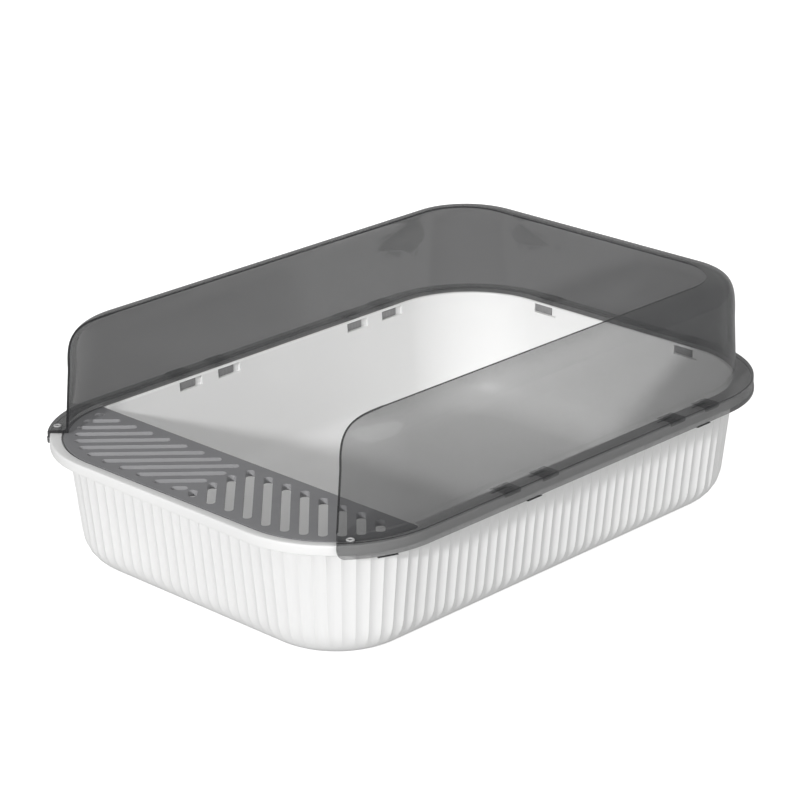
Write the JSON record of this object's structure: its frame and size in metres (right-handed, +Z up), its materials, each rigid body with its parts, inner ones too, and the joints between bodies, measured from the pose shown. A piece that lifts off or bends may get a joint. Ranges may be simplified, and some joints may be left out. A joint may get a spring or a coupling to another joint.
{
  "type": "cat litter box",
  "caption": "Open-top cat litter box: deep rounded tray, smoked splash hood clipped on round three sides and a slotted step plate across the open front.",
  "frame": {"origin": "on the floor under the centre of the tray's rim", "axes": "+Z up, +Y from the open front, where the cat steps in, to the back wall of the hood, X across the box"},
  "size_m": [0.4214, 0.6022, 0.2165],
  "materials": {
    "white_plastic": "smooth white moulded plastic",
    "smoked_plastic": "smoked see-through plastic, polished",
    "grey_plastic": "mid grey moulded plastic, satin",
    "dark_plastic": "dark smoked plastic"
  },
  "bodies": {
    "tray": {"tray": "white_plastic", "locating_peg_left": "white_plastic", "locating_peg_right": "white_plastic"},
    "hood": {"hood": "smoked_plastic", "clip_left_1": "dark_plastic", "clip_left_2": "dark_plastic", "clip_left_3": "dark_plastic", "clip_left_4": "dark_plastic", "clip_right_1": "dark_plastic", "clip_right_2": "dark_plastic", "clip_right_3": "dark_plastic", "clip_right_4": "dark_plastic", "clip_back_left": "dark_plastic", "clip_back_right": "dark_plastic"},
    "step_plate": {"step_plate": "grey_plastic"}
  },
  "joints": [
    {"name": "hood_lift", "type": "slide", "parent": "tray", "child": "hood", "axis": [0, 0, 1], "range_m": [0, 0.25]},
    {"name": "plate_lift", "type": "slide", "parent": "tray", "child": "step_plate", "axis": [0, 0, 1], "range_m": [0, 0.1]}
  ],
  "couplings": [
    {"joint": "plate_lift", "follows": "hood_lift", "ratio": 0.4}
  ]
}
